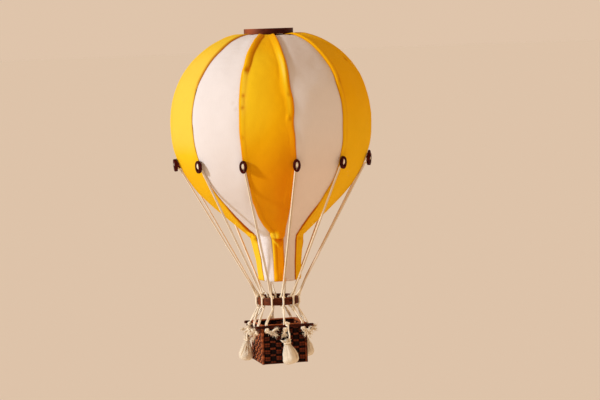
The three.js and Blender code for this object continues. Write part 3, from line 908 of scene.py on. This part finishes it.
def knot_line(centre, azimuth, size, turn):
    """A small overhand knot: a trefoil curve facing outward."""
    t = np.linspace(0, 2 * pi, 60)
    x = (np.sin(t) + 2 * np.sin(2 * t)) * size / 2.4
    y = (np.cos(t) - 2 * np.cos(2 * t)) * size / 2.4
    c, k = cos(turn), sin(turn)
    return centre + beside(azimuth, -np.sin(3 * t) * size * 0.55, x * c - y * k, x * k + y * c)


def main_cord(index):
    """Both strands of one cord: from inside its loop, past the load ring and down over a stick."""
    azimuth = index * GORE_ANGLE
    aside = polar(1.0, azimuth + pi / 2)
    side_azimuth, stick_z, along = cord_place(index)
    rng = np.random.default_rng(500 + index)
    taut = beside_seam(azimuth, LOOP_Z - 14, 0.0, STRAND_LIFT)
    landing = beside(azimuth, RING_RADIUS + 0.6, 0.0, RING_TOP_Z + 2.4)
    # On the last stretch the two strands lie together and turn a little round each other
    a = beside(azimuth, RING_RADIUS - 0.4, 0.3, RING_BOTTOM_Z - 3.6)
    b = beside(side_azimuth, STICK_OUT - 0.1, along, stick_z + STICK_RADIUS + STRAND_RADIUS + 1.35)
    down = unit(b - a)
    flat = unit(np.cross(down, polar(1.0, azimuth)))
    t = np.linspace(0, 1, 7)[:, None]
    angle = rng.uniform(-0.5, 0.9) + t * pi * 0.8
    turning = CLOSE_BY * (flat * np.cos(angle) + np.cross(down, flat) * np.sin(angle))
    soup = Soup()
    for sign, past_ring, phase in ((1, PAST_RING, 0.0), (-1, THROUGH_RING, 1.7)):
        path = smooth_path([
            *(beside_seam(azimuth, LOOP_Z + z, across * sign, STRAND_LIFT + up)
              for z, across, up in OUT_OF_LOOP),
            *(taut + (landing - taut) * share + ALONGSIDE * sign * aside for share in (0.2, 0.45, 0.7, 0.9)),
            *(beside(azimuth, *place) for place in past_ring),
            *(a + (b - a) * t + sign * turning),
            *(beside(side_azimuth, STICK_OUT + out, along + sign * across, stick_z + z)
              for out, across, z in BEHIND_STICK),
        ], 0.9)
        z = path[:, 2:]
        aloft = ramp(z, RING_TOP_Z + 3, RING_TOP_Z + 12) * fade(z, LOOP_Z - 8, LOOP_Z - 3)
        radii = np.interp(z, STRAND_Z, STRAND_R) * (1 + (FULLER.get(index, 1) - 1) * aloft)
        rings = rope_rings(path, radii * (OUTER_STRAND if sign > 0 else 1), phase=phase)
        # Shaded where the other strand lies against it, above the load ring
        toward = (rings - path[:, None]) @ aside / radii * -sign
        shaded = SHADED.get(index, 1) * (0.7 * ramp(toward, 0.35, 1.0) + 0.4 * (sign > 0))
        soup.tube(rings, shading(rings, aloft * np.clip(shaded + 0.3 * (index in FULLER), 0, 0.95)))
    # The hitch on the ring's top edge
    top = beside(azimuth, RING_RADIUS + 0.4, 0.9, RING_TOP_Z + 0.9)
    soup.tube(rope_rings(knot_line(top, azimuth, 1.0, rng.uniform(0, 6)), 0.6, pitch=3))
    soup.piece(f"main_cord_{index + 1}_strands", CORD, f"main_cord_{index + 1}")


# Frayed brushes of each cord's end, from one place to another: along the side, out from the stick and down,
# then how many plies and how far they spread. A cord with no row of its own takes the last row
FRAYED = {
    11: [((-1.4, 1.8, 3.2), (5, 3.2, 6), 9, 1.5), ((2.6, 2.4, 4.6), (9.4, 3.6, 8), 10, 1.7),
         ((4.4, 2.6, 4.8), (10.4, 3.4, 1), 7, 1)],
    0: [((-0.4, 1.8, 4.2), (-3.6, 3.4, 9.6), 8, 1.3), ((-1.6, 2, 5), (0.6, 3.4, 9.4), 5, 1)],
    1: [((3.6, 3, 6), end, 5, 2) for end in (
        (9.6, 4, 3.6), (9, 4.5, 8.6), (5.4, 5.5, 11.6), (0.8, 4, 9.8), (5.2, 5.5, 2.4),
        (0, 4, 4.4))],
    2: [((0, 2, 1.6), (-1, 8, -1.6), 8, 1.5), ((0, 2, 2), (0.5, 7.6, 2.6), 7, 1.4)],
    10: [((0, 2.6, 1.6), (0, 9.4, 3), 7, 1.2), ((0, 4, 2.4), (0.5, 5.6, 9.6), 10, 1.1),
         ((0, 1.6, 0.6), (0.4, 4.2, -1.6), 6, 0.8)],
    9: [((0, 2.4, 1), (-0.5, 6.2, -2.2), 7, 1), ((0, 2.8, 1.4), (0, 6, 4), 6, 1)],
    8: [((0, 2.6, 1.6), (-1.2, 9.6, 3.4), 7, 1.4), ((0, 2.6, 2), (0.6, 5, 6.4), 6, 1)],
    None: [((0, 2, 2.4), (2.6, 5, 8.4), 9, 1.3), ((0, 2, 2), (-4.6, 5, 5), 7, 1.2)],
}
FRAY_ANGLES = circle(6)
FIBRES, FIBRE_RADIUS = 5, 0.17
PLY_RADII = (0.34, 0.56)


def cord_end(index):
    """The knot under a stick and the frayed end that sticks out of it."""
    azimuth, stick_z, along = cord_place(index)
    rng = np.random.default_rng(900 + index)
    axes = np.array([polar(1.0, azimuth + pi / 2), polar(1.0, azimuth), -UP])
    crossing = beside(azimuth, STICK_OUT, along, stick_z)
    brushes = FRAYED.get(index, FRAYED[None])
    knot = crossing + np.array([0.2, 1.5, 3.0]) @ axes
    second = (knot + crossing + np.array(brushes[0][0]) @ axes) / 2
    soup = Soup()
    for size, centre in ((1.3, knot), (1.2, second)):
        soup.tube(rope_rings(knot_line(centre, azimuth, size, rng.uniform(0, 6)), 0.92, pitch=3))
    t = np.linspace(0, 1, 9)[:, None]
    for first, last, plies, spread in brushes:
        start, end = (crossing + np.array(p) @ axes for p in (first, last))
        way = unit(end - start)
        bend = rng.normal(0, 0.7, 3) - 0.6 * UP
        # Thick loosened plies, each ending in a few thin fibres
        for _ in range(int(plies * 1.5)):
            aside = rng.normal(0, 0.4 * spread, 3)
            tip = start + (end - start) * rng.uniform(0.72, 1.0) + rng.normal(0, 0.5 * spread, 3)
            ply = start + aside + (tip - start - aside) * t
            ply += (bend + rng.normal(0, 0.5, 3)) * (2 * t * (1 - t))
            ply += rng.normal(0, 0.35, 3) * np.sin(7 * t + rng.uniform(0, 6))
            radii = rng.uniform(*PLY_RADII) * (1 - 0.5 * t ** 3)
            soup.tube(sweep(ply, radii, FRAY_ANGLES), (rng.uniform(-0.2, 0.6), 0, 0))
            for _ in range(FIBRES):
                root = ply[rng.integers(3, 8)]
                heading = unit(way + rng.normal(0, 0.42, 3))
                fibre = root + heading * rng.uniform(1.6, 3.4) * t[::2] + rng.normal(0, 0.6, 3) * t[::2] ** 2
                soup.tube(sweep(fibre, FIBRE_RADIUS * (1 - 0.5 * t[::2]), FRAY_ANGLES[::2]))
    soup.piece(f"cord_end_{index + 1}", CORD)


for index in range(GORE_COUNT):
    main_cord(index)
    cord_end(index)


# Sticks

def stick_piece(name, azimuth, stick_z, seed):
    """A whittled stick: a little uneven, with blunt ends."""
    half = STICK_LENGTH / 2
    ends = half - np.array([0.05, 0.3, 0.8])
    at = np.concatenate([-ends, np.linspace(2 - half, half - 2, 40), ends[::-1]])
    angles = circle(16)
    shape = np.interp(np.abs(at), ends[::-1], [1, 0.92, 0.72])[:, None]
    uneven = 1 + 0.045 * smooth_noise(at[:, None], angles[None] * 2.2, 9, seed)
    rings = sweep(beside(azimuth, STICK_OUT, at, stick_z), STICK_RADIUS * 0.98 * shape * uneven, angles)
    soup = Soup()
    soup.tube(rings, shading(rings, 0.15 * (np.abs(at) > half - 1)[:, None]))
    soup.piece(f"stick_{name}_wood", STICK_WOOD, f"stick_{name}")


for seed, (name, azimuth, stick_z, _) in enumerate(SIDES):
    stick_piece(name, azimuth, stick_z, 300 + seed)


# Basket

STAKES, FLOOR_STRIPS = 7, 11
TALL, THIN = 4.25, 2.3
STAKE_WIDE, STAKE_THICK, WEAVER_THICK, WEAVER_OUT = 4.2, 0.8, 0.72, 0.82
WALL_MIDDLE = BASKET_HALF - 1.25
POST_OUT = BASKET_HALF + 0.15
WALL_HALF = POST_OUT - POST_SIZE
WALL_TOP = BASKET_TOP_Z - RIM_HEIGHT
RIM_CORNER = 1.6
STRIP_ANGLES = circle(12)
# Painted light: how much paler than the others each wall's outer and inner face is, by how the key light
# falls
WALL_PAINTED_LIGHT = {"front": (1.0, 1.0), "right": (0.5, 1.6), "back": (1.0, 0.7), "left": (1.4, 0.5)}


def flat_strip(line, thick, tall, out_direction):
    """Rings of a flat strip: an oval section, thin along out_direction and tall across it."""
    tangent = unit(np.gradient(line, axis=0))
    out = unit(out_direction - tangent * (tangent @ out_direction)[:, None])
    c, s = (squarer(wave, 0.6)[None, :, None] for wave in (np.cos(STRIP_ANGLES), np.sin(STRIP_ANGLES)))
    return line[:, None] + out[:, None] * c * thick / 2 + np.cross(out, tangent)[:, None] * s * tall / 2


def woven_wall(name, azimuth, seed):
    """Upright stakes with tall and thin weavers that pass in front of and behind them in turn."""
    rng = np.random.default_rng(seed)
    out = polar(1.0, azimuth)
    soup = Soup()
    pitch = 2 * WALL_HALF / STAKES
    stakes = -WALL_HALF + pitch * (np.arange(STAKES) + 0.5)
    z = np.linspace(BASKET_BOTTOM_Z + 0.4, WALL_TOP - 0.05, 20)
    for place in stakes:
        line = beside(azimuth, WALL_MIDDLE, place + 0.1 * np.sin(z), z)
        soup.tube(flat_strip(line, STAKE_THICK, STAKE_WIDE, out), (0.05, rng.uniform(0, 1), 0))
    along = np.linspace(-WALL_HALF - 0.4, WALL_HALF + 0.4, 30)
    border = beside(azimuth, WALL_MIDDLE, along, BASKET_BOTTOM_Z + 0.6)
    soup.tube(flat_strip(border, 2.3, 1.15, out), (0.55, 0.4, 0))
    along = np.linspace(-WALL_HALF - 0.6, WALL_HALF + 0.6, 86)
    faces_out = np.sign(np.cos(STRIP_ANGLES))
    z, row = BASKET_BOTTOM_Z + 1.05, 1
    while z < WALL_TOP - 0.3:
        odd = row % 2
        tall = min(THIN if odd else TALL, WALL_TOP - z)
        wave = np.cos((along - stakes[0]) / pitch * pi + pi * odd)
        proud = squarer(wave, 0.3)
        level = z + tall / 2 + 0.15 * smooth_noise(along, 0 * along + z, 14, seed + row)
        # A tall weaver is two canes side by side
        count = 2 if not odd and tall > THIN else 1
        for cane in range(count):
            middle = level + tall * ((cane + 0.5) / count - 0.5)
            line = beside(azimuth, WALL_MIDDLE + proud * WEAVER_OUT, along, middle)
            strip = flat_strip(line, WEAVER_THICK, tall / count * rng.uniform(0.94, 1.0), out)
            # Painted light: a strip is bright on the face where it stands proud, dim at its edges and in the
            # gaps, and set by wall
            light = ramp(proud[:, None] * faces_out, 0.2, 1.0) * (0.3 + 0.7 * np.cos(STRIP_ANGLES) ** 2)
            light *= 1 - 0.35 * bump(np.abs(wave), 1, 0.05)[:, None]
            light *= np.where(faces_out > 0, *WALL_PAINTED_LIGHT[name])
            soup.tube(strip, shading(strip, light, rng.uniform(0, 1)))
        z += tall
        row += 1
    soup.piece(f"wall_{name}_weave", WICKER_PALE if name in ("left", "right") else WICKER, f"wall_{name}")


def basket_floor():
    """A woven mat between the walls."""
    soup = Soup()
    pitch = 2 * WALL_HALF / FLOOR_STRIPS
    span = np.linspace(0.2 - WALL_HALF, WALL_HALF - 0.2, 36)
    for i in range(FLOOR_STRIPS):
        for turned_over in (0, 1):
            wave = np.cos((span + WALL_HALF) / pitch * pi - pi / 2 + pi * (i + turned_over))
            place, level = pitch * (i + 0.5) - WALL_HALF + 0 * span, BASKET_BOTTOM_Z + 0.85 + 0.3 * wave
            line = np.stack([place, span, level] if turned_over else [span, place, level], -1)
            strip = flat_strip(line, 0.45, pitch * 0.86, UP)
            # Painted light on the crests of the strips
            soup.tube(strip, shading(strip, (0.35 + 0.4 * np.abs(wave))[:, None], i * 0.37 % 1))
    soup.piece("basket_floor_mat", WICKER, "basket_floor")


def corner_post(name, x, y, seed):
    """A squarish cane, a little uneven."""
    heights, angles = np.linspace(BASKET_BOTTOM_Z + 0.05, WALL_TOP + 0.2, 34)[:, None], circle(16)
    uneven = 1 + 0.03 * smooth_noise(heights, angles, 5, seed)
    radii = POST_SIZE / 2 * 0.98 * squared(angles, 5) * uneven
    centre = POST_OUT - POST_SIZE / 2
    level = [side * centre + radii * wave(angles) for side, wave in ((x, np.cos), (y, np.sin))]
    rings = np.stack(np.broadcast_arrays(*level, heights), -1)
    # Painted shade on the cane's right side, and painted light near the top of the front left one against
    # the stick's shadow.
    # The left canes take a paler strip tone
    light = 0.75 + 0.2 * smooth_noise(heights, angles, 4, seed + 1) - 0.35 * (np.cos(angles) > 0.3)
    light += 0.6 * (name == "front_left") * ramp(heights, WALL_TOP - 12, WALL_TOP - 3)
    soup = Soup()
    soup.tube(rings, shading(rings, light, 0.6 if x < 0 else 0.0))
    soup.piece(f"post_{name}_cane", WICKER_PALE, f"post_{name}")


def basket_rim():
    """A cane round the top edge, bound with a spiral strip."""
    middle = RIM_HALF - RIM_WALL / 2
    straight = middle - RIM_CORNER
    track = []
    for azimuth in np.arange(4) * pi / 2:
        track += [beside(azimuth, middle, t, 0.0) for t in np.linspace(-straight, straight, 30)]
        track += [beside(azimuth, straight + RIM_CORNER * cos(t), straight + RIM_CORNER * sin(t), 0.0)
                  for t in np.linspace(0, pi / 2, 7)[1:-1]]
    track = np.array(track)
    angles = circle(12)
    out = np.cross(unit(np.roll(track, -1, 0) - np.roll(track, 1, 0)), UP)[:, None]
    wraps = np.abs(np.sin(lengths_along(track) * pi / 2.2))[:, None]
    shape = squared(angles, 3) * (0.9 + 0.1 * wraps)
    rings = (track[:, None] + UP * (BASKET_TOP_Z - RIM_HEIGHT / 2)
             + out * (RIM_WALL / 2 * shape * np.cos(angles))[..., None]
             + UP * (RIM_HEIGHT / 2 * shape * np.sin(angles))[..., None])
    # Painted light: the rim is lit on top and shaded below, and its left side and the right one inside are
    # the palest
    light = (0.95 + 0.4 * wraps) * ramp(np.sin(angles), -0.4, 0.4)
    quarter = len(track) // 4
    light[3 * quarter:] += 0.3
    light[quarter:2 * quarter] = np.maximum(light[quarter:2 * quarter], 1.1 * ramp(-np.cos(angles), 0, 0.7))
    soup = Soup()
    soup.torus(rings, shading(rings, light, 0.5))
    soup.piece("basket_rim_cane", WICKER_PALE, "basket_rim")


for seed, (name, azimuth, _, _) in enumerate(SIDES):
    woven_wall(name, azimuth, 600 + seed * 20)
for seed, (name, x, y) in enumerate([("front_left", -1, -1), ("front_right", 1, -1),
                                     ("back_right", 1, 1), ("back_left", -1, 1)]):
    corner_post(name, x, y, 700 + seed)
basket_floor()
basket_rim()


# Sandbags

# Columns: radius as a share of the bag's, and height as a share of the bag from bottom to frill
BAG_PROFILE = np.array([
    [0, 0], [0.45, 0], [0.78, 0.04], [0.96, 0.12], [1, 0.22], [0.9, 0.4], [0.68, 0.58],
    [0.44, 0.74], [0.29, 0.83], [0.3, 0.87], [0.42, 0.92], [0.56, 1],
])
BAG_ROWS, BAG_SIDES = 64, 96
NECK = 0.85
TIE_OUT, TIE_CORD, TAIL_CORD = 2.6, 0.45, 0.32
# Where below its stick a bag's cord would begin and end a bend
BEND_BELOW_STICK = (0.4, 7.5)

# How each bag hangs: shift of its neck and of its foot along the side, the side its cord comes down on,
# the strength of its pleats, its girth and how crumpled it is
BAG_HANG = {
    "front": (-3.4, 1.4, 1, 0.75, 1, 0.6), "right": (0, 0.4, -1, 1.8, 0.86, 0.5),
    "back": (-1, 0.5, 1, 0.7, 0.97, 0.8), "left": (0.4, -0.4, 1, 1.1, 0.88, 0.3),
}


def sandbag(name, azimuth, stick_z, along, seed):
    """A tied bag with pleats from its neck, a frill above the tie, a side seam and a thin hanging cord."""
    rng = np.random.default_rng(seed)
    neck_shift, foot_shift, cord_side, pleating, girth, crumple = BAG_HANG[name]
    hang_out = STICK_OUT + STICK_RADIUS + SEAT_GAP + BAG_CORD_RADIUS
    foot_out = BASKET_HALF + SEAT_GAP + BAG_RADIUS + BAG_FOOT_OUT
    outward, sideways = polar(1.0, azimuth), polar(1.0, azimuth + pi / 2)
    bottom = beside(azimuth, foot_out, along + foot_shift, BAG_BOTTOM_Z)
    aim = beside(azimuth, hang_out, along + neck_shift, BAG_BOTTOM_Z + BAG_HEIGHT)
    plumb = beside(azimuth, hang_out, along, stick_z) - beside(azimuth, foot_out, along, BAG_BOTTOM_Z)
    aim = aim + outward * (plumb @ outward * BAG_HEIGHT / plumb[2] - (aim - bottom) @ outward)
    axis = unit(aim - bottom)
    side = unit(sideways - axis * (axis @ sideways))
    out = np.cross(side, axis)
    out = out * np.sign(out @ outward)
    line = smooth_path(np.pad(BAG_PROFILE * [BAG_RADIUS, BAG_HEIGHT], ((0, 0), (0, 1))), 0.2)
    pick = np.linspace(0, len(line) - 1, BAG_ROWS).astype(int)
    radius, height = line[pick, :1], line[pick, 1:2]
    share = height / BAG_HEIGHT
    angles = circle(BAG_SIDES)[None]
    # Pleats run down from the tie, sharp at their bottoms, and die out over the belly
    pleats = 0
    for count, size in ((4, 0.7), (7, 0.6), (11, 0.2)):
        wander = angles + 0.25 * (1 - share) * sin(rng.uniform(0, 6.3))
        wave = np.cos(count * wander + rng.uniform(0, 6.3))
        pleats = pleats + size * (1 - 2 * np.sqrt(np.abs(wave)) if count == 7 else wave)
    depth = 0.01 + 0.13 * bump(share, NECK, 0.12) + 0.07 * pleating * bump(share, 0.6, 0.24)
    ruffle = 0.24 * ramp(share, NECK + 0.03, 1.0)
    dents = 0.06 * crumple * smooth_noise(angles * BAG_RADIUS, height, 9, seed) * ramp(share, 0.02, 0.2)
    seam, valley = (bump(np.angle(np.exp(1j * (angles - 0.9 * (1 - share) - aside))), 0, width)
                    for aside, width in ((0, 0.09), (0.24, 0.12)))
    seam_reach = ramp(share, 0.08, 0.25) * fade(share, 0.78, NECK)
    r = girth * radius * (1 + (depth + ruffle) * pleats + dents) + (0.5 * seam - 0.55 * valley) * seam_reach
    r = np.maximum(r, 0.02)
    # The side that leans on the basket is pressed flat
    press = np.maximum(-r * np.sin(angles) - (BAG_RADIUS - 0.25), 0)
    lift = height + ramp(share, NECK + 0.05, 1.0) * np.cos(3 * angles + rng.uniform(0, 6))
    points = (bottom + axis * lift[..., None] + side * (r * np.cos(angles))[..., None]
              + out * (r * np.sin(angles) + press)[..., None])
    # Painted shade in the hollows of the pleats and along the seam's valley
    crease_shade = np.clip(-pleats * depth * 1.6, 0, 0.6) + 0.8 * valley * seam_reach
    detail = np.stack(np.broadcast_arrays(angles * BAG_RADIUS, height, crease_shade), -1)
    # The frill is open at the top: an inner face goes back down to the tie
    inner_rows = np.linspace(len(points) - 1, int(len(points) * 0.88), 6).astype(int)
    centre = bottom + axis * lift[inner_rows][..., None]
    narrower = np.array([0.93, 0.86, 0.75, 0.6, 0.4, 0.12])[:, None, None]
    inner = centre + (points[inner_rows] - centre) * narrower
    soup = Soup()
    soup.tube(np.concatenate([points, inner]), np.concatenate([detail, detail[inner_rows]]))
    bag = soup.piece(f"sandbag_{name}_linen", LINEN, f"sandbag_{name}", f"sandbag_{name}")

    def by_neck(across, up, outer):
        return bottom + axis * BAG_HEIGHT * NECK + side * across + axis * up + out * outer

    def by_stick(outer, up):
        return beside(azimuth, STICK_OUT, along, stick_z) + outward * outer + UP * up

    # The tie: two turns round the neck, short tails, and the cord up over the stick
    ties = Soup()
    t = np.linspace(0, 4 * pi, 60)[:, None]
    ring = by_neck(TIE_OUT * np.cos(t), 0.9 * (t / (4 * pi) - 0.5), TIE_OUT * np.sin(t))
    ties.tube(rope_rings(ring, TIE_CORD, pitch=2.4))
    for tail in (-1, 1):
        wander = rng.uniform(0.2, 0.9)
        ties.tube(rope_rings(smooth_path([
            by_neck(0.3 * tail, 0, TIE_OUT), by_neck(1.4 * tail, -0.1, 3.3),
            by_neck((2.2 + wander) * tail, 0.6 - wander, 3.3),
            by_neck((2.9 + wander) * tail, 1 - 2 * wander, 2.8),
        ], 0.5), TAIL_CORD, pitch=2))
    over = STICK_RADIUS + BAG_CORD_RADIUS + 0.1
    low = by_neck(3.3 * cord_side, -0.6, 0.9)
    ties.tube(rope_rings(smooth_path([
        by_neck(1.6 * cord_side, -0.4, 2.2), low, by_neck(3.3 * cord_side, 2.8, 1.5),
        (low + by_stick(over, 0)) / 2 + outward, by_stick(over + 0.3, -4), by_stick(over, 0),
        by_stick(0.72 * over, 0.72 * over), by_stick(0, 1.02 * over), by_stick(-0.4 * over, 0.95 * over),
    ], 0.6), BAG_CORD_RADIUS, pitch=3.2))
    crossing = by_stick(0.7 * over, over) - 0.6 * sideways
    ties.tube(rope_rings(knot_line(crossing, azimuth, 1.5, rng.uniform(0, 6)), 0.75, pitch=2.4))
    cord = ties.piece(f"sandbag_{name}_cord", CORD, body=None)
    # The knot stays on its stick. The span below it where the cord would bend with the bag is found but not
    # used
    bend_from, bend_to = (by_stick(0, -below) for below in BEND_BELOW_STICK)
    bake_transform(cord)


for seed, (name, azimuth, stick_z, along) in enumerate(SIDES):
    sandbag(name, azimuth, stick_z, along, 800 + seed)


# Floor, light and camera

FLOOR_Z, FLOOR_SIZE = -1.6, 400
FLOOR_ALBEDO = (0.972, 0.856, 0.709)
HORIZON, OVERHEAD = (0.739, 0.555, 0.407), (0.5, 0.38, 0.28)

bpy.ops.mesh.primitive_plane_add(size=FLOOR_SIZE, location=(0, 0, FLOOR_Z))
floor = bpy.context.object
floor.name = "floor"
floor.data.materials.append(new_material("floor", FLOOR_ALBEDO, 1.0, 0.0)[0])
# The low light stands for light that comes back from all round, so the floor doesn't shade it
floor.visible_shadow = False


def sunlight(name, azimuth_deg, elevation_deg, strength, colour, spread_deg):
    """A distant light whose rays come from that side."""
    light = bpy.data.lights.new(name, "SUN")
    light.energy = strength
    light.color = colour
    light.angle = radians(spread_deg)
    elevation = radians(elevation_deg)
    back = Vector(polar(cos(elevation), radians(azimuth_deg), sin(elevation)))
    new_object(name, light).rotation_euler = (-back).to_track_quat("-Z", "Y").to_euler()


sunlight("key", -81, 17, 2.67, (0.76, 0.86, 1.0), 6)
sunlight("bounce", 80, -55, 1.12, (1.0, 0.58, 0.3), 130)

# A pale studio: the floor's tone at the horizon and a dimmer one overhead
world = bpy.data.worlds.new("studio")
scene.world = world
world.use_nodes = True
sky = Nodes(world.node_tree)
tones = sky.ramp(sky.split(sky.place("Generated"))["Z"], [(0.12, HORIZON), (0.8, OVERHEAD)])
sky.put(world.node_tree.nodes["Background"], "Color", tones)

# The camera's place, from azimuth, distance and height, and its turn from the line to the axis
CAMERA_AZIMUTH = radians(-13.18)
CAMERA_DISTANCE, CAMERA_Z = 2.149, -0.0056
CAMERA_PAN, CAMERA_TILT, CAMERA_ROLL = radians(-0.669), radians(4.336), radians(-1.96)
FOCAL_PIXELS, FRAME_PIXELS, SENSOR = 2200, 600, 36

camera_data = bpy.data.cameras.new("camera")
camera_data.sensor_width = SENSOR
camera_data.lens = FOCAL_PIXELS / FRAME_PIXELS * SENSOR
camera_data.clip_end = 500
camera = new_object("camera", camera_data)
bpy.context.scene.camera = camera
camera.location = polar(CAMERA_DISTANCE, CAMERA_AZIMUTH, CAMERA_Z)
forward = Vector(-polar(cos(CAMERA_TILT), CAMERA_AZIMUTH + CAMERA_PAN, sin(CAMERA_TILT)))
camera.rotation_mode = "QUATERNION"
camera.rotation_quaternion = forward.to_track_quat("-Z", "Y") @ Quaternion(UP, CAMERA_ROLL)

scene.view_settings.view_transform = "Standard"
